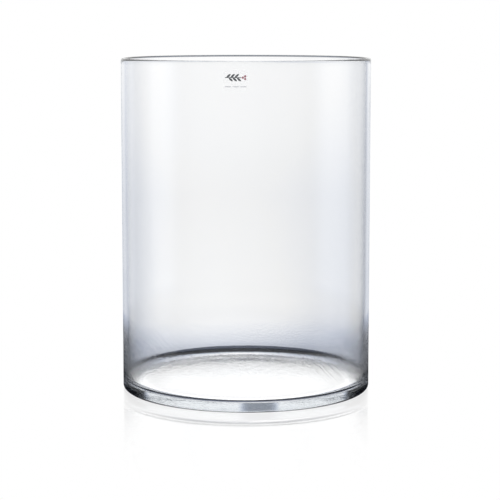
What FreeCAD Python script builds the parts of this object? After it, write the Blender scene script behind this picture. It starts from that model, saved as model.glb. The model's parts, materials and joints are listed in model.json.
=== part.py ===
"""Glass cylinder vase: a one-piece glass body with a printed clear label stuck on near the rim.

Millimetres. +Z is up along the vase's axis, the origin is the middle of the plane it stands on,
and the label faces -Y, turned a little about the axis.
"""
import FreeCAD, Part
import math
import os

import Sketcher

Vector = FreeCAD.Vector

LEAF_PAIRS = 3
RULE_DASHES = 3

DRIVING_SIZES = [
    # the glass body
    ("outer_diameter", 300.0),
    ("overall_height", 400.0),
    ("wall_thickness", 5.6),
    ("floor_thickness", 9.5),
    ("floor_fillet", 10.0),
    ("heel_radius", 4.0),
    ("resting_ring_width", 18.0),
    ("underside_hollow", 1.2),
    # the clear film of the label, and where it sticks
    ("film_width", 27.5),
    ("film_height", 22.5),
    ("film_corner", 2.0),
    ("film_thickness", 0.1),
    ("film_below_rim", 10.5),
    ("label_turn", -4.4),
    # the printing on the film: a berry sprig over a broken rule
    ("ink_thickness", 0.05),
    ("sprig_above_middle", 3.4),
    ("sprig_span", 24.0),
    ("stem_width", 0.8),
    ("leaf_length", 6.4),
    ("leaf_width", 2.3),
    ("leaf_slant", 40.0),
    ("first_leaf_in", 1.8),
    ("last_leaf_clearance", 0.2),
    ("berry_radius", 1.3),
    ("berry_gap", 0.4),
    ("rule_span", 24.0),
    ("rule_width", 0.9),
    ("rule_break", 1.6),
    ("rule_above_edge", 4.5),
]

doc = FreeCAD.newDocument("GlassCylinderVase")
sizes = doc.addObject("Spreadsheet::Sheet", "Sizes")
for row, (alias, value) in enumerate(DRIVING_SIZES, start=1):
    sizes.set("A%d" % row, alias)
    sizes.set("B%d" % row, str(value))
    sizes.setAlias("B%d" % row, alias)
doc.recompute()


def size(alias):
    """A driving size as a plain number."""
    return float(getattr(sizes, alias))


def own_plane(body, role):
    """One of a body's own origin planes, found by its role."""
    for feature in body.Origin.OriginFeatures:
        if feature.Role == role:
            return feature
    raise RuntimeError("no origin feature " + role)


def new_body(label):
    body = doc.addObject("PartDesign::Body", label)
    body.Label = label
    body.AllowCompound = True
    return body


def upright_sketch(body, name):
    """A sketch on the body's XZ plane: x is across, y is up, and its normal is -Y."""
    sketch = body.newObject("Sketcher::SketchObject", name)
    sketch.AttachmentSupport = [(own_plane(body, "XZ_Plane"), "")]
    sketch.MapMode = "FlatFace"
    return sketch


def line(sketch, start, end):
    return sketch.addGeometry(Part.LineSegment(Vector(*start, 0), Vector(*end, 0)), False)


def arc(sketch, centre, radius, start_deg, end_deg):
    circle = Part.Circle(Vector(*centre, 0), Vector(0, 0, 1), radius)
    segment = Part.ArcOfCircle(circle, math.radians(start_deg), math.radians(end_deg))
    return sketch.addGeometry(segment, False)


def constrain(sketch, kind, *where):
    sketch.addConstraint(Sketcher.Constraint(kind, *where))


def dimension(sketch, name, formula, kind, *where):
    """A named dimension tied to the sheet by a formula."""
    index = sketch.addConstraint(Sketcher.Constraint(kind, *where))
    sketch.renameConstraint(index, name)
    sketch.setExpression("Constraints." + name, formula)


START, END, CENTRE = 1, 2, 3
ORIGIN_X = ORIGIN_Y = -1
ACROSS_AXIS, UP_AXIS = -1, -2


def rectangle(sketch, name, low, high, formulas):
    """A rectangle with its four edges dimensioned from the sketch's origin.

    low and high are corners near the solved ones; formulas gives left, right, bottom and top.
    """
    corners = [low, (high[0], low[1]), high, (low[0], high[1])]
    sides = [line(sketch, corners[i], corners[(i + 1) % 4]) for i in range(4)]
    for i in range(4):
        constrain(sketch, "Coincident", sides[i], END, sides[(i + 1) % 4], START)
    for i in (0, 2):
        constrain(sketch, "Horizontal", sides[i])
        constrain(sketch, "Vertical", sides[i + 1])
    left, right, bottom, top = formulas
    for edge, formula, kind, corner, value in (
        ("Left", left, "DistanceX", sides[0], low[0]),
        ("Right", right, "DistanceX", sides[2], high[0]),
        ("Bottom", bottom, "DistanceY", sides[0], low[1]),
        ("Top", top, "DistanceY", sides[2], high[1]),
    ):
        if formula == "0":
            axis = UP_AXIS if kind == "DistanceX" else ACROSS_AXIS
            constrain(sketch, "PointOnObject", corner, START, axis)
        else:
            dimension(sketch, name + edge, formula, kind, ORIGIN_X, START, corner, START, value)


# ---------------------------------------------------------------------------------- glass body
def build_glass_vase():
    """One turned profile: domed underside, resting ring, heel, wall, round rim, fillet, floor."""
    radius = size("outer_diameter") / 2
    height = size("overall_height")
    wall = size("wall_thickness")
    floor = size("floor_thickness")
    fillet = size("floor_fillet")
    heel = size("heel_radius")
    hollow = size("underside_hollow")
    ring_inner = radius - heel - size("resting_ring_width")
    bore = radius - wall

    body = new_body("glass_vase")
    sketch = upright_sketch(body, "VaseProfile")
    dome_radius = (ring_inner ** 2 + hollow ** 2) / (2 * hollow)
    dome_edge_angle = math.degrees(math.acos(ring_inner / dome_radius))
    dome = arc(sketch, (0, hollow - dome_radius), dome_radius, dome_edge_angle, 90)
    ring = line(sketch, (ring_inner, 0), (radius - heel, 0))
    heel_arc = arc(sketch, (radius - heel, heel), heel, -90, 0)
    outside = line(sketch, (radius, heel), (radius, height - wall / 2))
    rim = arc(sketch, (radius - wall / 2, height - wall / 2), wall / 2, 0, 180)
    inside = line(sketch, (bore, height - wall / 2), (bore, floor + fillet))
    fillet_arc = arc(sketch, (bore - fillet, floor + fillet), fillet, -90, 0)
    floor_line = line(sketch, (bore - fillet, floor), (0, floor))
    axis_line = line(sketch, (0, floor), (0, hollow))

    constrain(sketch, "PointOnObject", dome, CENTRE, UP_AXIS)
    constrain(sketch, "PointOnObject", dome, END, UP_AXIS)
    constrain(sketch, "Coincident", dome, START, ring, START)
    constrain(sketch, "PointOnObject", ring, START, ACROSS_AXIS)
    constrain(sketch, "Horizontal", ring)
    constrain(sketch, "Tangent", ring, END, heel_arc, START)
    constrain(sketch, "Tangent", heel_arc, END, outside, START)
    constrain(sketch, "Vertical", outside)
    constrain(sketch, "Tangent", outside, END, rim, START)
    constrain(sketch, "Tangent", rim, END, inside, START)
    constrain(sketch, "Vertical", inside)
    constrain(sketch, "Tangent", inside, END, fillet_arc, END)
    constrain(sketch, "Tangent", fillet_arc, START, floor_line, START)
    constrain(sketch, "Horizontal", floor_line)
    constrain(sketch, "PointOnObject", floor_line, END, UP_AXIS)
    constrain(sketch, "Coincident", floor_line, END, axis_line, START)
    constrain(sketch, "Coincident", axis_line, END, dome, END)

    dimension(sketch, "OuterRadius", "Sizes.outer_diameter / 2",
              "DistanceX", ORIGIN_X, START, outside, START, radius)
    dimension(sketch, "RimCentreHeight", "Sizes.overall_height - Sizes.wall_thickness / 2",
              "DistanceY", ORIGIN_Y, START, rim, CENTRE, height - wall / 2)
    dimension(sketch, "RimRadius", "Sizes.wall_thickness / 2", "Radius", rim, wall / 2)
    dimension(sketch, "HeelRadius", "Sizes.heel_radius", "Radius", heel_arc, heel)
    dimension(sketch, "RingWidth", "Sizes.resting_ring_width",
              "DistanceX", ring, START, ring, END, size("resting_ring_width"))
    dimension(sketch, "UndersideHollow", "Sizes.underside_hollow",
              "DistanceY", ORIGIN_Y, START, dome, END, hollow)
    dimension(sketch, "FloorThickness", "Sizes.floor_thickness",
              "DistanceY", ORIGIN_Y, START, floor_line, END, floor)
    dimension(sketch, "FloorFillet", "Sizes.floor_fillet", "Radius", fillet_arc, fillet)

    turned = body.newObject("PartDesign::Revolution", "TurnedGlass")
    turned.Profile = sketch
    turned.ReferenceAxis = (sketch, ["V_Axis"])
    turned.Angle = 360
    return body


# --------------------------------------------------------------------------------------- label
# Each label piece is drawn flat, padded out along -Y through the wall's radius and cut back to a
# thin shell round the vase's axis. Its own origin is level with its middle; its placement lifts it
# to its height and turns it about the axis.
WALL_RADIUS = "Sizes.outer_diameter / 2"
FILM_FACE_RADIUS = WALL_RADIUS + " + Sizes.film_thickness"
WASTE_MARGIN = 5


def pad_outline(body, outline):
    pad = body.newObject("PartDesign::Pad", body.Label + "_pad")
    pad.Profile = outline
    pad.setExpression("Length", WALL_RADIUS + " + %d" % (2 * WASTE_MARGIN))
    return pad


def curve_to_wall(body, inner_formula, thickness, height_formula):
    """Grooves away what lies inside the shell's inner radius and outside its outer radius."""
    inner = size("outer_diameter") / 2
    outer_formula = inner_formula + " + Sizes." + thickness
    half = "(%s) / 2 + %d" % (height_formula, WASTE_MARGIN)
    far_formula = WALL_RADIUS + " + %d" % (4 * WASTE_MARGIN)
    waste = upright_sketch(body, body.Label + "_waste")
    rectangle(waste, "Core", (0, -20), (inner, 20), ("0", inner_formula, "-(%s)" % half, half))
    rectangle(waste, "Skin", (inner + 1, -20), (inner + 20, 20),
              (outer_formula, far_formula, "-(%s)" % half, half))
    groove = body.newObject("PartDesign::Groove", body.Label + "_curve")
    groove.Profile = waste
    groove.ReferenceAxis = (waste, ["V_Axis"])
    groove.Angle = 360


def stick_on(body, height_formula):
    """Lifts a finished label piece to its height and turns it about the vase's axis."""
    body.Placement.Rotation = FreeCAD.Rotation(Vector(0, 0, 1), size("label_turn"))
    body.setExpression(".Placement.Base.z", height_formula)


FILM_MIDDLE = "Sizes.overall_height - Sizes.film_below_rim - Sizes.film_height / 2"


def build_label_film():
    """The clear die-cut film, with rounded corners."""
    half_width = size("film_width") / 2
    half_height = size("film_height") / 2
    body = new_body("label_film")
    outline = upright_sketch(body, "FilmOutline")
    rectangle(outline, "Film", (-half_width, -half_height), (half_width, half_height),
              ("-Sizes.film_width / 2", "Sizes.film_width / 2",
               "-Sizes.film_height / 2", "Sizes.film_height / 2"))
    pad = pad_outline(body, outline)
    doc.recompute()
    corners = []
    for number, edge in enumerate(pad.Shape.Edges, start=1):
        ends = [vertex.Point for vertex in edge.Vertexes]
        if abs(ends[0].y - ends[1].y) > WASTE_MARGIN:
            corners.append("Edge%d" % number)
    rounding = body.newObject("PartDesign::Fillet", "FilmCorners")
    rounding.Base = (pad, corners)
    rounding.setExpression("Radius", "Sizes.film_corner")
    doc.recompute()
    curve_to_wall(body, WALL_RADIUS, "film_thickness", "Sizes.film_height")
    stick_on(body, FILM_MIDDLE)
    return body


SPRIG_HEIGHT = FILM_MIDDLE + " + Sizes.sprig_above_middle"
SPRIG_BAND = "2 * Sizes.leaf_length"
BERRY_PITCH = "(2 * Sizes.berry_radius + Sizes.berry_gap)"
BERRY_ROW = BERRY_PITCH + " * cos(30 deg)"
FIRST_BERRY = "Sizes.sprig_span / 2 - Sizes.berry_radius - " + BERRY_ROW
STEM_TIP = FIRST_BERRY + " - Sizes.berry_radius - Sizes.berry_gap"
FIRST_ROOT = "-Sizes.sprig_span / 2 + Sizes.first_leaf_in"
LEAF_REACH = "Sizes.leaf_length * cos(Sizes.leaf_slant * 1 deg)"
LEAF_RISE = "Sizes.leaf_length * sin(Sizes.leaf_slant * 1 deg)"
# the last lower leaf, rooted half a spacing past the last upper one, ends just short of the stem's tip
LEAF_SPACING = "(%s - Sizes.last_leaf_clearance - %s - (%s)) / %s" % (
    STEM_TIP, LEAF_REACH, FIRST_ROOT, LEAF_PAIRS - 0.5)


def draw_leaf(sketch, name, side, root_x, root_formula):
    """A pointed leaf of two equal arcs, rooted on the stem and slanted up (1) or down (-1)."""
    length = size("leaf_length")
    width = size("leaf_width")
    slant = math.radians(size("leaf_slant"))
    root = Vector(root_x, 0, 0)
    along = Vector(math.cos(slant), side * math.sin(slant), 0)
    beside = Vector(-along.y, along.x, 0)
    tip = root + along * length
    middle = root + along * (length / 2)
    edges = []
    for cheek in (1, -1):
        bulge = middle + beside * (cheek * width / 2)
        edges.append(sketch.addGeometry(Part.Arc(root, bulge, tip), False))
    root_ends = []
    for edge in edges:
        nearness = sketch.getPoint(edge, START).distanceToPoint(root)
        root_ends.append(START if nearness < width / 10 else END)
    tip_ends = [START + END - end for end in root_ends]
    constrain(sketch, "Coincident", edges[0], root_ends[0], edges[1], root_ends[1])
    constrain(sketch, "Coincident", edges[0], tip_ends[0], edges[1], tip_ends[1])
    constrain(sketch, "PointOnObject", edges[0], root_ends[0], ACROSS_AXIS)
    dimension(sketch, name + "Root", root_formula,
              "DistanceX", ORIGIN_X, START, edges[0], root_ends[0], root.x)
    dimension(sketch, name + "Reach", LEAF_REACH,
              "DistanceX", edges[0], root_ends[0], edges[0], tip_ends[0], along.x * length)
    dimension(sketch, name + "Rise", "%d * %s" % (side, LEAF_RISE),
              "DistanceY", edges[0], root_ends[0], edges[0], tip_ends[0], along.y * length)
    bend = "(Sizes.leaf_length ^ 2 + Sizes.leaf_width ^ 2) / (4 * Sizes.leaf_width)"
    for cheek_name, edge in zip(("OneBend", "OtherBend"), edges):
        dimension(sketch, name + cheek_name, bend,
                  "Radius", edge, (length ** 2 + width ** 2) / (4 * width))


def build_label_sprig():
    """Dark printing: a level stem with a row of slanted leaves above and below, alternating."""
    body = new_body("label_sprig_print")
    span = size("sprig_span")
    half_stem = size("stem_width") / 2
    stem_outline = upright_sketch(body, "StemOutline")
    rectangle(stem_outline, "Stem", (-span / 2, -half_stem), (span / 4, half_stem),
              ("-Sizes.sprig_span / 2", STEM_TIP, "-Sizes.stem_width / 2", "Sizes.stem_width / 2"))
    pad_outline(body, stem_outline)

    leaf_outline = upright_sketch(body, "LeafOutline")
    first_root = -span / 2 + size("first_leaf_in")
    draw_leaf(leaf_outline, "Upper", 1, first_root, FIRST_ROOT)
    draw_leaf(leaf_outline, "Lower", -1, first_root + size("leaf_width"),
              "%s + (%s) / 2" % (FIRST_ROOT, LEAF_SPACING))
    leaf_pair = pad_outline(body, leaf_outline)
    doc.recompute()
    one_pair = leaf_pair.Shape.Volume

    row = body.newObject("PartDesign::LinearPattern", "LeafRow")
    row.Originals = [leaf_pair]
    row.Direction = (leaf_outline, ["H_Axis"])
    row.Occurrences = LEAF_PAIRS
    row.setExpression("Length", "(%s) * %d" % (LEAF_SPACING, LEAF_PAIRS - 1))
    body.Tip = row
    doc.recompute()
    if row.Shape.Volume < one_pair * 1.2:
        raise RuntimeError("the row of leaves is missing")

    curve_to_wall(body, FILM_FACE_RADIUS, "ink_thickness", SPRIG_BAND)
    stick_on(body, SPRIG_HEIGHT)
    return body


def build_label_berries():
    """Accent printing: a cluster of round berries past the stem's tip."""
    body = new_body("label_berry_print")
    outline = upright_sketch(body, "BerryOutline")
    radius = size("berry_radius")
    pitch = 2 * radius + size("berry_gap")
    row_step = pitch * math.cos(math.radians(30))
    first = size("sprig_span") / 2 - radius - row_step
    places = (
        ("Near", first, 0, FIRST_BERRY, None),
        ("Upper", first + row_step, pitch / 2, FIRST_BERRY + " + " + BERRY_ROW, BERRY_PITCH + " / 2"),
        ("Lower", first + row_step, -pitch / 2, FIRST_BERRY + " + " + BERRY_ROW,
         "-" + BERRY_PITCH + " / 2"),
    )
    for name, across, up, across_formula, up_formula in places:
        circle = Part.Circle(Vector(across, up, 0), Vector(0, 0, 1), radius)
        berry = outline.addGeometry(circle, False)
        dimension(outline, name + "Radius", "Sizes.berry_radius", "Radius", berry, radius)
        dimension(outline, name + "Across", across_formula,
                  "DistanceX", ORIGIN_X, START, berry, CENTRE, across)
        if up_formula is None:
            constrain(outline, "PointOnObject", berry, CENTRE, ACROSS_AXIS)
        else:
            dimension(outline, name + "Up", up_formula,
                      "DistanceY", ORIGIN_Y, START, berry, CENTRE, up)
    pad_outline(body, outline)
    curve_to_wall(body, FILM_FACE_RADIUS, "ink_thickness", SPRIG_BAND)
    stick_on(body, SPRIG_HEIGHT)
    return body


def build_label_rule():
    """Pale grey printing: a thin rule broken into equal dashes."""
    body = new_body("label_rule_print")
    outline = upright_sketch(body, "RuleOutline")
    dash_formula = "(Sizes.rule_span - %d * Sizes.rule_break) / %d" % (RULE_DASHES - 1, RULE_DASHES)
    step_formula = "(%s + Sizes.rule_break)" % dash_formula
    dash = (size("rule_span") - (RULE_DASHES - 1) * size("rule_break")) / RULE_DASHES
    half = size("rule_width") / 2
    for number in range(RULE_DASHES):
        left = -size("rule_span") / 2 + number * (dash + size("rule_break"))
        left_formula = "-Sizes.rule_span / 2 + %d * %s" % (number, step_formula)
        rectangle(outline, "Dash%d" % (number + 1), (left, -half), (left + dash, half),
                  (left_formula, left_formula + " + " + dash_formula,
                   "-Sizes.rule_width / 2", "Sizes.rule_width / 2"))
    pad_outline(body, outline)
    curve_to_wall(body, FILM_FACE_RADIUS, "ink_thickness", "Sizes.rule_width")
    stick_on(body, FILM_MIDDLE + " - Sizes.film_height / 2 + Sizes.rule_above_edge")
    return body


# -------------------------------------------------------------------------------- check, write
pieces = [
    build_glass_vase(),
    build_label_film(),
    build_label_sprig(),
    build_label_berries(),
    build_label_rule(),
]
doc.recompute()

for item in doc.Objects:
    if "Invalid" in item.State or "Error" in item.State:
        raise RuntimeError("%s failed: %s" % (item.Label, item.State))
for piece in pieces:
    if piece.Shape.isNull() or not piece.Shape.isValid() or not piece.Shape.Solids:
        raise RuntimeError(piece.Label + " has no valid solid")

os.makedirs("parts", exist_ok=True)
for piece in pieces:
    piece.Shape.exportStep("parts/%s.step" % piece.Label)
    box = piece.Shape.optimalBoundingBox(False, False)
    print("%-18s %2d solid(s) %14.4f mm3  x %.3f..%.3f  y %.3f..%.3f  z %.3f..%.3f" % (
        piece.Label, len(piece.Shape.Solids), piece.Shape.Volume,
        box.XMin, box.XMax, box.YMin, box.YMax, box.ZMin, box.ZMax))
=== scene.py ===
"""Glass cylinder vase on a pale studio floor: blown glass, clear label film and its printing."""

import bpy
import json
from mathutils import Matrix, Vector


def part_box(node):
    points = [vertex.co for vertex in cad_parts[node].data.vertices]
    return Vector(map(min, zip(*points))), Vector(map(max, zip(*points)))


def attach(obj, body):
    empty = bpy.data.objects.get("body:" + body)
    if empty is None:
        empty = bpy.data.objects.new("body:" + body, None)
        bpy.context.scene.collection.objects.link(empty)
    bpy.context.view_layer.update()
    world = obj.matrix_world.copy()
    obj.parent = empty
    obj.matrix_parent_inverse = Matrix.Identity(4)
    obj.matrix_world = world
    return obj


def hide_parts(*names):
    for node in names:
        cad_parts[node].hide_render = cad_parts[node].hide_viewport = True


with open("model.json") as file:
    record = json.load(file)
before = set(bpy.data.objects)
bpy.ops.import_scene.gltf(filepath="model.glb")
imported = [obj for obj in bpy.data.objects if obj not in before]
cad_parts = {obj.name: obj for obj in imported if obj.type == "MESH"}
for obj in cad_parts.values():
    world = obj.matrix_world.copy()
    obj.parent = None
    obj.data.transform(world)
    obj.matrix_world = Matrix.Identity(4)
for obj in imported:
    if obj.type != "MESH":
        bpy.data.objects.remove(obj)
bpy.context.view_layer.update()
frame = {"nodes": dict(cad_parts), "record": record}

import json
import math

import bpy

# ------------------------------------------------------------------------------------- sizes, m
MM = 0.001
glass_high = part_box("glass_vase")[1]
HEIGHT = round(glass_high.z, 4)
RADIUS = round(glass_high.x, 4)
FLOOR_TOP = next(m["pos_m"][2] for m in frame["record"]["mounts"] if m["name"] == "inner_floor")
WALL = 5.6 * MM
FLOOR_FILLET = 10.0 * MM
HEEL_RADIUS = 4.0 * MM
RESTING_RING = 18.0 * MM
UNDERSIDE_HOLLOW = 1.2 * MM
BORE = RADIUS - WALL
RING_INNER = RADIUS - HEEL_RADIUS - RESTING_RING


# ------------------------------------------------------------------------------- node shorthand
class Graph:
    """Adds nodes to a tree and joins them, so that a formula reads from the inside out."""

    def __init__(self, tree):
        self.tree = tree

    def add(self, kind, settings=None, **inputs):
        """A node of that kind; settings are its properties, inputs its sockets by name."""
        node = self.tree.nodes.new(kind)
        for name, value in (settings or {}).items():
            setattr(node, name, value)
        for name, value in inputs.items():
            self.feed(node, name.replace("_", " "), value)
        return node

    def feed(self, node, socket, value):
        target = node.inputs[socket]
        if isinstance(value, bpy.types.NodeSocket):
            self.tree.links.new(value, target)
        else:
            target.default_value = value

    def math(self, operation, *values, clamp=False):
        node = self.add("ShaderNodeMath", {"operation": operation, "use_clamp": clamp})
        for slot, value in enumerate(values):
            self.feed(node, slot, value)
        return node.outputs[0]

    def vector(self, operation, *values, out=0):
        node = self.add("ShaderNodeVectorMath", {"operation": operation})
        for slot, value in enumerate(values):
            self.feed(node, slot, value)
        return node.outputs[out]

    def combine(self, x, y, z):
        node = self.add("ShaderNodeCombineXYZ")
        for slot, value in enumerate((x, y, z)):
            self.feed(node, slot, value)
        return node.outputs[0]

    def separate(self, vector):
        return self.add("ShaderNodeSeparateXYZ", Vector=vector).outputs

    def range(self, value, low, high, to_low=0.0, to_high=1.0, smooth=True):
        """Value mapped from low..high onto to_low..to_high, clamped at both ends."""
        node = self.add("ShaderNodeMapRange",
                        {"interpolation_type": "SMOOTHSTEP" if smooth else "LINEAR"})
        for slot, number in enumerate((value, low, high, to_low, to_high)):
            self.feed(node, slot, number)
        return node.outputs[0]

    def ramp(self, value, stops, interpolation="EASE"):
        """A colour ramp; stops are (position, grey or (r, g, b))."""
        node = self.add("ShaderNodeValToRGB", Fac=value)
        band = node.color_ramp
        band.interpolation = interpolation
        while len(band.elements) < len(stops):
            band.elements.new(0.5)
        for element, (position, colour) in zip(band.elements, stops):
            element.position = position
            rgb = colour if isinstance(colour, tuple) else (colour, colour, colour)
            element.color = (*rgb, 1.0)
        return node.outputs[0]

    def mix(self, factor, a, b, blend="MIX"):
        node = self.add("ShaderNodeMix", {"data_type": "RGBA", "blend_type": blend})
        self.feed(node, 0, factor)
        self.feed(node, 6, a)
        self.feed(node, 7, b)
        return node.outputs[2]


# ---------------------------------------------------------------------------- turned glass tree
def turned_glass_tree():
    """Geometry nodes: the vase's section, rounded, divided and turned about +Z into a closed body."""
    tree = bpy.data.node_groups.new("turned_glass", "GeometryNodeTree")
    face = tree.interface
    for name, default in (("Radius", 0.15), ("Height", 0.4), ("Wall", 0.005), ("Floor Top", 0.012),
                          ("Floor Fillet", 0.01), ("Heel Radius", 0.007), ("Resting Ring", 0.017),
                          ("Underside Hollow", 0.0025), ("Step", 0.005), ("Waviness", 0.0001)):
        item = face.new_socket(name, in_out="INPUT", socket_type="NodeSocketFloat")
        item.default_value = default
    for name, default in (("Segments", 240), ("Corner Steps", 12), ("Seed", 1)):
        item = face.new_socket(name, in_out="INPUT", socket_type="NodeSocketInt")
        item.default_value = default
    face.new_socket("Glass", in_out="INPUT", socket_type="NodeSocketMaterial")
    face.new_socket("Geometry", in_out="OUTPUT", socket_type="NodeSocketGeometry")

    g = Graph(tree)
    given = g.add("NodeGroupInput").outputs
    radius, height, wall = given["Radius"], given["Height"], given["Wall"]
    floor_top, hollow = given["Floor Top"], given["Underside Hollow"]
    ring_inner = g.math("SUBTRACT", g.math("SUBTRACT", radius, given["Heel Radius"]),
                        given["Resting Ring"])
    bore = g.math("SUBTRACT", radius, wall)
    half_wall = g.math("MULTIPLY", wall, 0.4999)
    index = g.add("GeometryNodeInputIndex").outputs[0]

    def by_index(data_type, values):
        node = g.add("GeometryNodeIndexSwitch", {"data_type": data_type}, Index=index)
        while len(node.index_switch_items) < len(values):
            node.index_switch_items.new()
        for slot, value in enumerate(values, start=1):
            g.feed(node, slot, value)
        return node.outputs[0]

    corners = by_index("VECTOR", [
        g.combine(0.0, 0.0, hollow),
        g.combine(ring_inner, 0.0, 0.0),
        g.combine(radius, 0.0, 0.0),
        g.combine(radius, 0.0, height),
        g.combine(bore, 0.0, height),
        g.combine(bore, 0.0, floor_top),
        g.combine(0.0, 0.0, floor_top),
    ])
    roundings = by_index("FLOAT", [0.0, 0.0, given["Heel Radius"], half_wall, half_wall,
                                   given["Floor Fillet"], 0.0])
    points = g.add("GeometryNodeMeshLine", {"mode": "OFFSET"}, Count=7).outputs[0]
    placed = g.add("GeometryNodeSetPosition", Geometry=points, Position=corners).outputs[0]
    outline = g.add("GeometryNodeMeshToCurve", Mesh=placed).outputs[0]
    rounded = g.add("GeometryNodeFilletCurve", {"mode": "POLY"}, Curve=outline, Radius=roundings,
                    Count=given["Corner Steps"]).outputs[0]

    # long straight stretches get a point every Step
    here = g.add("GeometryNodeInputPosition").outputs[0]
    next_index = g.math("ADD", index, 1.0)
    next_place = g.add("GeometryNodeFieldAtIndex", {"data_type": "FLOAT_VECTOR", "domain": "POINT"},
                       Index=next_index, Value=here).outputs[0]
    gap = g.vector("DISTANCE", here, next_place, out=1)
    cuts = g.math("FLOOR", g.math("DIVIDE", gap, given["Step"]))
    divided = g.add("GeometryNodeSubdivideCurve", Curve=rounded, Cuts=cuts).outputs[0]

    # the underside is a shallow dome inside the resting ring
    x, y, z = g.separate(here)
    inward = g.math("DIVIDE", x, ring_inner)
    dome = g.math("MULTIPLY", hollow, g.math("SUBTRACT", 1.0, g.math("POWER", inward, 2.0)))
    below = g.math("LESS_THAN", z, g.math("MULTIPLY", hollow, 1.001))
    within = g.math("LESS_THAN", x, ring_inner)
    section = g.add("GeometryNodeSetPosition", Geometry=divided,
                    Selection=g.math("MULTIPLY", below, within),
                    Position=g.combine(x, y, dome)).outputs[0]

    # a grid with a row for each section point and a column for each step round the axis
    count = g.add("GeometryNodeAttributeDomainSize", {"component": "CURVE"},
                  Geometry=section).outputs["Point Count"]
    columns = g.math("ADD", given["Segments"], 1.0)
    grid = g.add("GeometryNodeMeshGrid", Vertices_X=count, Vertices_Y=columns).outputs["Mesh"]
    row = g.math("FLOOR", g.math("DIVIDE", index, columns))
    column = g.math("MODULO", index, columns)
    turn = g.math("MULTIPLY", g.math("DIVIDE", column, given["Segments"]), math.tau)
    sample = g.add("GeometryNodeSampleIndex", {"data_type": "FLOAT_VECTOR", "domain": "POINT"},
                   Geometry=section, Value=here, Index=row).outputs[0]
    across, _, up = g.separate(sample)
    turned = g.combine(g.math("MULTIPLY", across, g.math("COSINE", turn)),
                       g.math("MULTIPLY", across, g.math("SINE", turn)), up)
    body = g.add("GeometryNodeSetPosition", Geometry=grid, Position=turned).outputs[0]
    closed = g.add("GeometryNodeMergeByDistance", Geometry=body, Distance=1e-6).outputs[0]

    # drawn glass is never quite even: both faces of the wall wander by a fraction of a millimetre
    outward = g.math("SQRT", g.math("ADD", g.math("POWER", x, 2.0), g.math("POWER", y, 2.0)))
    inner_face = g.math("LESS_THAN", outward, g.math("SUBTRACT", radius, half_wall))
    stretched = g.vector("MULTIPLY", here, (1.0, 1.0, 0.35))
    wander = g.add("ShaderNodeTexNoise", {"noise_dimensions": "4D", "normalize": True},
                   Vector=stretched, W=g.math("ADD", given["Seed"],
                                              g.math("MULTIPLY", inner_face, 7.3)),
                   Scale=22.0, Detail=1.0, Roughness=0.4).outputs[0]
    above_base = g.range(z, 0.02, 0.05)
    below_rim = g.range(g.math("SUBTRACT", height, z), 0.003, 0.03)
    on_wall = g.math("GREATER_THAN", outward, g.math("SUBTRACT", bore, 1e-5))
    depth = g.math("MULTIPLY", g.math("MULTIPLY", wander, given["Waviness"]),
                   g.math("MULTIPLY", on_wall, g.math("MULTIPLY", above_base, below_rim)))
    radial = g.vector("NORMALIZE", g.combine(x, y, 0.0))
    pushed = g.add("ShaderNodeVectorMath", {"operation": "SCALE"}, Vector=radial,
                   Scale=g.math("MULTIPLY", depth, -1.0)).outputs[0]
    wavy = g.add("GeometryNodeSetPosition", Geometry=closed, Offset=pushed).outputs[0]

    outside_out = g.add("GeometryNodeFlipFaces", Mesh=wavy).outputs[0]
    smooth = g.add("GeometryNodeSetShadeSmooth", Geometry=outside_out, Shade_Smooth=True).outputs[0]
    real = g.add("GeometryNodeRealizeInstances", Geometry=smooth).outputs[0]
    finished = g.add("GeometryNodeSetMaterial", Geometry=real, Material=given["Glass"]).outputs[0]
    end = g.add("NodeGroupOutput")
    tree.links.new(finished, end.inputs[0])
    return tree


def grown(name, tree, values):
    """Runs a geometry node tree once, and keeps its result as a plain mesh object."""
    seedling = bpy.data.objects.new(name + "_nodes", bpy.data.meshes.new(name + "_nodes"))
    bpy.context.scene.collection.objects.link(seedling)
    modifier = seedling.modifiers.new("shape", "NODES")
    modifier.node_group = tree
    for item in tree.interface.items_tree:
        if item.in_out == "INPUT":
            modifier[item.identifier] = values[item.name]
    seedling.update_tag()
    evaluated = seedling.evaluated_get(bpy.context.evaluated_depsgraph_get())
    mesh = bpy.data.meshes.new_from_object(evaluated)
    seedling.modifiers.remove(modifier)
    bpy.data.objects.remove(seedling)
    mesh.name = name
    piece = bpy.data.objects.new(name, mesh)
    bpy.context.scene.collection.objects.link(piece)
    return piece


# ------------------------------------------------------------------------- shared finish effects
def value_group(name, inputs, outputs, build):
    """A shader node group with named number inputs; build fills it and feeds the outputs."""
    tree = bpy.data.node_groups.new(name, "ShaderNodeTree")
    for socket, default in inputs.items():
        item = tree.interface.new_socket(socket, in_out="INPUT", socket_type="NodeSocketFloat")
        item.default_value = default
    for socket, kind in outputs.items():
        tree.interface.new_socket(socket, in_out="OUTPUT", socket_type=kind)
    g = Graph(tree)
    results = build(g, g.add("NodeGroupInput").outputs)
    end = g.add("NodeGroupOutput")
    for socket, result in results.items():
        tree.links.new(result, end.inputs[socket])
    return tree


def build_surface_grain(g, given):
    """Fine unevenness of a surface: a patchy mask and a bumped normal."""
    place = g.add("ShaderNodeTexCoord").outputs["Object"]
    patches = g.add("ShaderNodeTexNoise", {"noise_dimensions": "3D"}, Vector=place,
                    Scale=given["Patch Scale"], Detail=2.0, Roughness=0.5).outputs[0]
    fine = g.add("ShaderNodeTexNoise", {"noise_dimensions": "3D"}, Vector=place,
                 Scale=given["Grain Scale"], Detail=3.0, Roughness=0.55).outputs[0]
    mask = g.range(patches, 0.35, 0.7)
    bump = g.add("ShaderNodeBump", Strength=given["Bump"], Distance=given["Depth"], Height=fine)
    return {"Mask": mask, "Grain": fine, "Normal": bump.outputs[0]}


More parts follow.
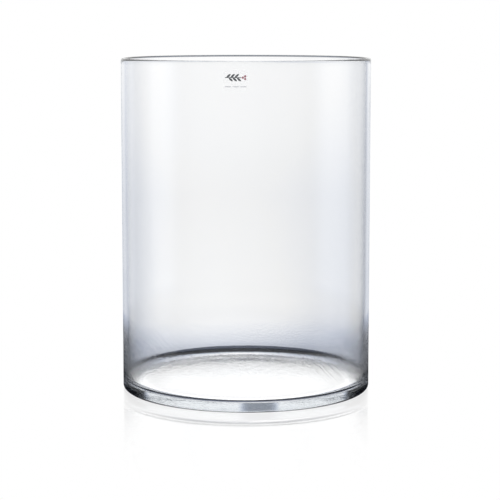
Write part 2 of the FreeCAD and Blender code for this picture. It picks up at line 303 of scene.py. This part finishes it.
surface_grain = value_group(
    "surface_grain",
    {"Patch Scale": 20.0, "Grain Scale": 400.0, "Bump": 0.1, "Depth": 0.0001},
    {"Mask": "NodeSocketFloat", "Grain": "NodeSocketFloat", "Normal": "NodeSocketVector"},
    build_surface_grain)


def new_finish(name):
    """An empty Principled material with its graph, and the shader already joined to the output."""
    material = bpy.data.materials.new(name)
    material.use_nodes = True
    material.node_tree.nodes.clear()
    g = Graph(material.node_tree)
    shader = g.add("ShaderNodeBsdfPrincipled")
    output = g.add("ShaderNodeOutputMaterial")
    g.tree.links.new(shader.outputs[0], output.inputs["Surface"])
    return material, g, shader, output


def grain_node(g, **values):
    node = g.add("ShaderNodeGroup", {"node_tree": surface_grain})
    for name, value in values.items():
        node.inputs[name.replace("_", " ")].default_value = value
    return node.outputs


# ------------------------------------------------------------------------------------- finishes
CLEAR_TINTS = (0.994, 0.997, 0.999, 1.0), (0.999, 1.0, 1.0, 1.0)
# painted shade: the near-black rim line
LIP_PAINTED_SHADE = (0.05, 0.06, 0.08, 1.0)
# painted shade along the draw lines on the low outer sides
STREAK_PAINTED_SHADE = (0.16, 0.18, 0.22, 1.0)
# painted shade: the grey line round the underside
RING_PAINTED_SHADE = (0.45, 0.46, 0.50, 1.0)
# painted shade: the dark line in the inside corner of the floor
CORNER_PAINTED_SHADE = (0.03, 0.034, 0.045, 1.0)
# painted shade: the near-black ends of the thick base
HEEL_PAINTED_SHADE = (0.004, 0.005, 0.008, 1.0)
DRAWN_TOP = 75 * MM


def lip_shade_mask(g, out, z, from_air):
    """Painted shade: the inner quarter of the rounded rim, met from the air, darkened into a
    near-black rim line.
    """
    upper = g.range(z, HEIGHT - WALL / 2, HEIGHT - WALL / 4)
    inner = g.range(out, RADIUS - WALL * 0.62, RADIUS - WALL * 0.45, 1.0, 0.0)
    return g.math("MULTIPLY", g.math("MULTIPLY", upper, inner), from_air)


def heel_shade_mask(g, outer, z, facing):
    """Painted shade: the outside of the thick base, darkened near black where it is met at a slant.
    """
    below_floor = g.range(z, FLOOR_TOP - 2 * MM, FLOOR_TOP + 1 * MM, 1.0, 0.0)
    return g.math("MULTIPLY", g.math("MULTIPLY", outer, g.range(facing, 0.36, 0.60)), below_floor)


def corner_shade_mask(g, out, z, from_glass, from_air):
    """Painted shade in the inside corner: its foot met from the glass, its upper half met from the
    air, darkened into a dark line.
    """
    foot = g.math("MULTIPLY", g.range(z, FLOOR_TOP + 0.05 * MM, FLOOR_TOP + 0.4 * MM),
                  g.range(z, FLOOR_TOP + 3.4 * MM, FLOOR_TOP + 4.6 * MM, 1.0, 0.0))
    top = FLOOR_TOP + FLOOR_FILLET
    upper = g.math("MULTIPLY", g.range(z, top - FLOOR_FILLET * 0.45, top - FLOOR_FILLET * 0.32),
                   g.range(z, top, top + FLOOR_FILLET * 0.1, 1.0, 0.0))
    either = g.math("ADD", g.math("MULTIPLY", foot, from_glass),
                    g.math("MULTIPLY", upper, from_air))
    return g.math("MULTIPLY", either, g.range(out, BORE + 1 * MM, BORE + 2 * MM, 1.0, 0.0))


def ring_shade_mask(g, out, z):
    """Painted shade: a thin grey line round the underside, at the inner edge of the resting ring."""
    away = g.math("ABSOLUTE", g.math("SUBTRACT", out, RING_INNER - 0.5 * MM))
    return g.math("MULTIPLY", g.range(away, 0.3 * MM, 1.0 * MM, 1.0, 0.0),
                  g.range(z, 2 * MM, 3 * MM, 1.0, 0.0))


def clear_glass():
    """Blown soda-lime glass: near colourless, with painted shade on the rim, the inside corner, the
    underside ring, the base edge and the low sides.
    """
    material, g, shader, output = new_finish("clear_glass")
    shader.inputs["IOR"].default_value = 1.52
    shader.inputs["Transmission Weight"].default_value = 1.0
    shader.inputs["Metallic"].default_value = 0.0
    grain = grain_node(g, Patch_Scale=9.0, Grain_Scale=35.0, Bump=0.04, Depth=0.0006)
    x, y, z = g.separate(g.add("ShaderNodeTexCoord").outputs["Object"])
    out = g.math("SQRT", g.math("ADD", g.math("POWER", x, 2.0), g.math("POWER", y, 2.0)))
    outer = g.range(out, RADIUS - 3 * MM, RADIUS - 2 * MM)
    facing = g.add("ShaderNodeLayerWeight", Blend=0.5).outputs["Facing"]
    from_glass = g.add("ShaderNodeNewGeometry").outputs["Backfacing"]
    from_air = g.math("SUBTRACT", 1.0, from_glass)

    # ripples chilled into the thick base, and slanting draw lines just above it
    place = g.combine(x, y, z)
    ripples = g.add("ShaderNodeTexNoise", {"noise_dimensions": "3D"}, Vector=place, Scale=90.0,
                    Detail=3.0, Roughness=0.6).outputs[0]
    leaned = g.math("MULTIPLY", z, 0.8)
    slanting = g.vector("MULTIPLY",
                        g.combine(g.math("ADD", x, leaned), g.math("ADD", y, leaned), z),
                        (1.0, 1.0, 0.08))
    lines = g.add("ShaderNodeTexNoise", {"noise_dimensions": "3D"}, Vector=slanting, Scale=420.0,
                  Detail=2.0, Roughness=0.5).outputs[0]
    rippled = g.math("MULTIPLY", ripples, g.range(z, 13 * MM, 16 * MM, 0.9, 0.0))
    drawn = g.math("MULTIPLY", lines, g.math("MULTIPLY", g.range(z, 18 * MM, 22 * MM),
                                             g.range(z, 30 * MM, DRAWN_TOP, 0.8, 0.0)))
    bump = g.add("ShaderNodeBump", Strength=0.6, Distance=0.25 * MM,
                 Height=g.math("ADD", rippled, drawn), Normal=grain["Normal"])
    g.feed(shader, "Normal", bump.outputs[0])
    g.feed(shader, "Roughness", g.range(grain["Mask"], 0.0, 1.0, 0.0, 0.006, smooth=False))

    # tints: clear, then painted shade along the draw lines on the low sides, on the rim, the
    # underside ring, the inside corner and the base edge
    # painted shade: the low outer sides darkened along the draw lines where they are met at a slant;
    # the draw lines themselves are real, as bumps
    slant_shade = g.math("MULTIPLY", g.range(facing, 0.50, 0.80), g.range(lines, 0.35, 0.65))
    streak_shade = g.math("MULTIPLY", slant_shade, g.range(z, FLOOR_TOP, DRAWN_TOP, 1.0, 0.0))
    colour = g.mix(grain["Mask"], *CLEAR_TINTS)
    for mask, tint in ((lip_shade_mask(g, out, z, from_air), LIP_PAINTED_SHADE),
                       (g.math("MULTIPLY", streak_shade, outer), STREAK_PAINTED_SHADE),
                       (ring_shade_mask(g, out, z), RING_PAINTED_SHADE),
                       (corner_shade_mask(g, out, z, from_glass, from_air), CORNER_PAINTED_SHADE),
                       (heel_shade_mask(g, outer, z, facing), HEEL_PAINTED_SHADE)):
        colour = g.mix(mask, colour, tint)
    g.feed(shader, "Base Color", colour)
    depth = g.add("ShaderNodeVolumeAbsorption", Color=(0.80, 0.90, 0.97, 1.0), Density=1.2)
    g.tree.links.new(depth.outputs[0], output.inputs["Volume"])
    return material


def clear_film():
    """Label film: almost invisible, a slight milky haze with faint wrinkles from being stuck on."""
    material, g, shader, output = new_finish("clear_film")
    shader.inputs["IOR"].default_value = 1.3
    grain = grain_node(g, Patch_Scale=160.0, Grain_Scale=900.0, Bump=0.15, Depth=0.00005)
    g.feed(shader, "Base Color",
           g.mix(grain["Mask"], (0.93, 0.94, 0.95, 1.0), (0.97, 0.97, 0.98, 1.0)))
    g.feed(shader, "Roughness", g.range(grain["Grain"], 0.3, 0.7, 0.30, 0.42))
    g.feed(shader, "Alpha", g.range(grain["Mask"], 0.0, 1.0, 0.04, 0.08))
    g.feed(shader, "Normal", grain["Normal"])
    return material


def printed_ink(name, colour, thin_colour):
    """Screen-printed ink: solid with small thin patches where the film shows through."""
    material, g, shader, output = new_finish(name)
    shader.inputs["IOR"].default_value = 1.45
    grain = grain_node(g, Patch_Scale=1400.0, Grain_Scale=5200.0, Bump=0.25, Depth=0.00002)
    g.feed(shader, "Base Color", g.mix(grain["Mask"], (*colour, 1.0), (*thin_colour, 1.0)))
    g.feed(shader, "Roughness", g.range(grain["Grain"], 0.3, 0.7, 0.38, 0.55))
    g.feed(shader, "Normal", grain["Normal"])
    return material


# ------------------------------------------------------------------------------------ the vase
vase = grown("blown_glass_vase", turned_glass_tree(), {
    "Radius": RADIUS,
    "Height": HEIGHT,
    "Wall": WALL,
    "Floor Top": FLOOR_TOP,
    "Floor Fillet": FLOOR_FILLET,
    "Heel Radius": HEEL_RADIUS,
    "Resting Ring": RESTING_RING,
    "Underside Hollow": UNDERSIDE_HOLLOW,
    "Step": 5.0 * MM,
    "Waviness": 0.12 * MM,
    "Segments": 240,
    "Corner Steps": 12,
    "Seed": 4,
    "Glass": clear_glass(),
})
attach(vase, "root")
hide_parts("glass_vase")


# ------------------------------------------------------------------------------------ the label
def refinish(node, material):
    """Gives a node of the frame a new material in every slot."""
    piece = frame["nodes"][node]
    for slot in piece.material_slots:
        slot.material = material


refinish("label_film", clear_film())
refinish("label_sprig_print", printed_ink("dark_ink", (0.060, 0.065, 0.070), (0.16, 0.17, 0.18)))
refinish("label_berry_print", printed_ink("accent_ink", (0.33, 0.12, 0.15), (0.46, 0.25, 0.28)))
refinish("label_rule_print", printed_ink("grey_ink", (0.48, 0.49, 0.51), (0.62, 0.63, 0.65)))


# ---------------------------------------------------------------------------------- studio light
# levels: (height of the direction, grey); floor tables: (distance from the axis in metres, grey)
LEVEL_LOW, LEVEL_HIGH = -0.30, 0.10
THROUGH_LEVELS = [(-0.30, 1.05), (-0.20, 1.05), (-0.17, 1.07), (-0.145, 1.045), (-0.108, 1.02),
                  (-0.071, 1.06), (-0.034, 1.07), (0.0, 1.06), (0.10, 1.06)]
MIRRORED_LEVELS = [(-0.30, 0.40), (-0.17, 0.70), (-0.11, 0.74), (-0.07, 0.84), (-0.03, 0.94),
                   (0.0, 0.98), (0.10, 1.0)]
SOLID_LEVEL = 1.0
UPPER_LEVELS = [(0.0, 1.0), (0.30, 1.0), (0.46, 0.9), (0.62, 0.9), (0.78, 1.0), (1.0, 1.2)]
STRIPE_LOW, STRIPE_HIGH = 0.075, 0.02
SHADOW_REACH = 0.6
SHADOW_STRAIGHT = [(0.137, 1.0), (0.156, 1.0), (0.162, 0.03), (0.186, 0.03), (0.197, 0.62),
                   (0.26, 0.72), (0.28, 0.80), (0.31, 0.84), (0.35, 0.91), (0.43, 0.98), (0.60, 1.0)]
SHADOW_MIRRORED = [(0.138, 0.9), (0.145, 0.06), (0.30, 0.06), (0.42, 0.2), (0.58, 1.0)]
# painted glow: the floor under the vase glows to the glass though it is no lamp
UNDER_GLOW_STRENGTH = 1.9
UNDER_VASE_GLOW = [(0.0, 0.62), (0.08, 0.64), (0.10, 0.58), (0.118, 0.54), (0.127, 0.92), (0.14, 1.0)]
FLOOR_GLOSS = [(0.15, 0.22), (0.180, 0.20), (0.192, 0.52), (0.205, 0.42), (0.25, 0.24), (0.34, 0.10),
               (0.44, 0.0)]
COOL_RED, COOL_GREEN = 0.72, 0.50


def cooled(g, grey):
    """Grey turned faintly blue, the more so the darker it is."""
    value = g.separate(grey)[0]
    lost = g.math("MULTIPLY", g.math("MULTIPLY", value, value),
                  g.math("MAXIMUM", g.math("SUBTRACT", 1.0, value), 0.0))
    return g.combine(g.math("SUBTRACT", value, g.math("MULTIPLY", lost, COOL_RED)),
                     g.math("SUBTRACT", value, g.math("MULTIPLY", lost, COOL_GREEN)), value)


def solid_path(g, path):
    """1 for light that went into the glass once and bounced about in it before coming out."""
    once = g.math("LESS_THAN", path["Transmission Depth"], 2.5)
    entered = g.math("GREATER_THAN", path["Transmission Depth"], 0.5)
    bounced = g.math("GREATER_THAN", path["Glossy Depth"], 1.5)
    return g.math("MULTIPLY", g.math("MULTIPLY", once, entered), bounced)


def by_level(g, z, stops):
    """Grey graded by a direction's height, between two levels just below and above the horizon."""
    spread = LEVEL_HIGH - LEVEL_LOW
    place = g.range(z, LEVEL_LOW, LEVEL_HIGH, smooth=False)
    return g.ramp(place, [((level - LEVEL_LOW) / spread, grey) for level, grey in stops], "LINEAR")


def studio_surroundings():
    """White all round for the camera; what the glass gathers is graded by height and by side."""
    world = bpy.data.worlds.new("soft_studio")
    bpy.context.scene.world = world
    world.use_nodes = True
    world.node_tree.nodes.clear()
    g = Graph(world.node_tree)
    path = g.add("ShaderNodeLightPath").outputs
    x, y, z = g.separate(g.add("ShaderNodeTexCoord").outputs["Generated"])
    angle = g.math("ARCTAN2", x, y)
    entered = g.math("MINIMUM", path["Transmission Depth"], 1.0)
    mirrored = g.math("MINIMUM", path["Glossy Depth"], 1.0)

    # seen straight through the walls: a bright backdrop with faint upright stripes
    stripe = g.math("COSINE", g.math("MULTIPLY", g.math("ADD", angle, math.radians(1.6)), 24.0))
    swing = g.range(z, -0.20, 0.0, STRIPE_LOW, STRIPE_HIGH, smooth=False)
    striped = g.math("ADD", 1.0, g.math("MULTIPLY", swing, g.math("SUBTRACT", stripe, 1.0)))
    straight = g.add("ShaderNodeVectorMath", {"operation": "SCALE"},
                     Vector=by_level(g, z, THROUGH_LEVELS), Scale=striped).outputs[0]

    # mirrored off the walls: a dimmer room, darkest to the right and behind the camera
    right = g.math("COSINE", g.math("SUBTRACT", angle, math.radians(50.0)))
    left = g.math("COSINE", g.math("ADD", angle, math.radians(50.0)))
    edge, core = math.cos(math.radians(26.0)), math.cos(math.radians(8.0))
    dimmed = g.math("MULTIPLY", g.range(right, edge, core, 1.0, 0.40),
                    g.range(left, edge, core, 1.0, 0.80))
    dimmed = g.math("ADD", dimmed, g.math("MULTIPLY", g.range(z, 0.0, 0.05),
                                          g.math("SUBTRACT", 1.0, dimmed)))
    behind = g.range(g.math("COSINE", angle), -0.45, -0.10, 0.30, 1.0)
    dimmed = g.math("MULTIPLY", dimmed, behind)
    rising = g.math("MULTIPLY", g.math("MULTIPLY", entered, 0.15), g.range(z, 0.0, 0.05))
    mirror = g.math("ADD", dimmed, rising)
    room = g.add("ShaderNodeVectorMath", {"operation": "SCALE"},
                 Vector=by_level(g, z, MIRRORED_LEVELS), Scale=mirror).outputs[0]

    # carried along in the thick base: bright screens with dark gaps, and a slit at the camera
    aside = g.math("ABSOLUTE", g.math("SINE", angle))
    screens = g.math("MAXIMUM", g.range(aside, 0.62, 0.70, 1.0, 0.04),
                     g.range(aside, 0.955, 0.985, 0.0, 1.0))
    camera_slit = g.math("COSINE", g.math("MULTIPLY", g.math("ADD", angle, math.radians(4.0)), 4.0))
    slit_edge, slit_core = math.cos(math.radians(26.0)), math.cos(math.radians(10.0))
    slit = g.range(camera_slit, slit_edge, slit_core, 1.0, 0.35)
    carried = g.math("MULTIPLY", g.math("MULTIPLY", screens, slit), SOLID_LEVEL)
    room = g.mix(solid_path(g, path), room, g.combine(carried, carried, carried))

    gathered = g.mix(mirrored, straight, room)
    gathered = g.mix(1.0, gathered, g.ramp(z, UPPER_LEVELS, "LINEAR"), "MULTIPLY")
    light = g.add("ShaderNodeBackground", Color=cooled(g, gathered), Strength=1.0)
    white = g.add("ShaderNodeBackground", Color=(1.0, 1.0, 1.0, 1.0), Strength=1.0)
    mixed = g.add("ShaderNodeMixShader")
    for slot, value in enumerate((path["Is Camera Ray"], light.outputs[0], white.outputs[0])):
        g.feed(mixed, slot, value)
    end = g.add("ShaderNodeOutputWorld")
    g.tree.links.new(mixed.outputs[0], end.inputs["Surface"])


# --------------------------------------------------------------------------------- studio: floor
def floor_finish():
    """Gloss-white floor: plain white to the camera with a soft reflection close to the vase; to the
    glass it shows a painted contact shadow and a painted glow under the vase.
    """
    material = bpy.data.materials.new("pale_floor")
    material.use_nodes = True
    material.node_tree.nodes.clear()
    g = Graph(material.node_tree)
    path = g.add("ShaderNodeLightPath").outputs
    x, y, z = g.separate(g.add("ShaderNodeTexCoord").outputs["Object"])
    away = g.math("SQRT", g.math("ADD", g.math("POWER", x, 2.0), g.math("POWER", y, 2.0)))
    angle = g.math("ARCTAN2", x, y)

    # what reaches the glass from the floor is painted: a painted contact shadow of the vase dims it
    # near the base, darker to one side, and under the vase a painted glow
    near = g.math("DIVIDE", away, SHADOW_REACH)
    straight = g.ramp(near, [(r / SHADOW_REACH, c) for r, c in SHADOW_STRAIGHT], "LINEAR")
    glancing = g.ramp(near, [(r / SHADOW_REACH, c) for r, c in SHADOW_MIRRORED], "LINEAR")
    shadow = g.mix(g.math("MINIMUM", path["Glossy Depth"], 1.0), straight, glancing)
    shadow = g.mix(solid_path(g, path), shadow, (0.95, 0.95, 0.95, 1.0))
    stripe = g.math("COSINE", g.math("MULTIPLY", g.math("ADD", angle, math.radians(8.0)), 4.0))
    swing = g.range(away, 0.20, 0.55, 0.14, 0.0)
    striped = g.math("ADD", 1.0, g.math("MULTIPLY", swing, g.math("SUBTRACT", stripe, 0.9)))
    dimmed = g.add("ShaderNodeVectorMath", {"operation": "SCALE"}, Vector=shadow, Scale=striped)
    through = g.add("ShaderNodeBsdfTransparent", Color=cooled(g, dimmed.outputs[0]))
    lit = g.ramp(near, [(r / SHADOW_REACH, c) for r, c in UNDER_VASE_GLOW], "LINEAR")
    glow_underneath = g.add("ShaderNodeEmission", Color=lit, Strength=UNDER_GLOW_STRENGTH)
    below = g.add("ShaderNodeMixShader")
    inside = g.range(away, 0.126, 0.136, 1.0, 0.0)
    for slot, value in enumerate((inside, through.outputs[0], glow_underneath.outputs[0])):
        g.feed(below, slot, value)

    # what the camera sees
    white = g.add("ShaderNodeEmission", Color=(1.0, 1.0, 1.0, 1.0), Strength=1.0)
    gloss = g.add("ShaderNodeBsdfGlossy", Color=(1.0, 1.0, 1.0, 1.0), Roughness=0.05)
    fade = g.ramp(near, [(r / SHADOW_REACH, c) for r, c in FLOOR_GLOSS], "LINEAR")
    plain = g.add("ShaderNodeMixShader")
    for slot, value in enumerate((fade, white.outputs[0], gloss.outputs[0])):
        g.feed(plain, slot, value)
    mixed = g.add("ShaderNodeMixShader")
    for slot, value in enumerate((path["Is Camera Ray"], below.outputs[0], plain.outputs[0])):
        g.feed(mixed, slot, value)
    end = g.add("ShaderNodeOutputMaterial")
    g.tree.links.new(mixed.outputs[0], end.inputs["Surface"])
    return material


def studio_floor(radius, below):
    """A round floor, a hair below the vase's resting ring."""
    mesh = bpy.data.meshes.new("studio_floor")
    sides = 128
    turns = [i * math.tau / sides for i in range(sides)]
    rim = [(radius * math.cos(turn), radius * math.sin(turn), -below) for turn in turns]
    mesh.from_pydata(rim, [], [list(range(sides))])
    mesh.materials.append(floor_finish())
    floor = bpy.data.objects.new("studio_floor", mesh)
    bpy.context.scene.collection.objects.link(floor)


studio_surroundings()
studio_floor(1.0, 0.3 * MM)


# ----------------------------------------------------------------------------- studio: camera
def studio_camera(distance, height, pitch, focal, shift_x, shift_y):
    """A long lens in front of the vase, a little above its rim and tipped down."""
    lens = bpy.data.cameras.new("studio_camera")
    lens.sensor_width = 36.0
    lens.lens = focal
    lens.shift_x = shift_x
    lens.shift_y = shift_y
    lens.clip_start = 0.05
    lens.clip_end = 50.0
    camera = bpy.data.objects.new("studio_camera", lens)
    camera.location = (0.0, -distance, height)
    camera.rotation_euler = (math.radians(90.0 - pitch), 0.0, 0.0)
    bpy.context.scene.collection.objects.link(camera)
    bpy.context.scene.camera = camera


studio_camera(distance=1.990, height=0.4495, pitch=6.87, focal=118.8, shift_x=0.0082, shift_y=-0.07)

scene = bpy.context.scene
scene.view_settings.view_transform = "Standard"
scene.cycles.max_bounces = 32
scene.cycles.transmission_bounces = 32
scene.cycles.glossy_bounces = 24
scene.cycles.transparent_max_bounces = 16
scene.cycles.volume_bounces = 0

bpy.context.view_layer.update()
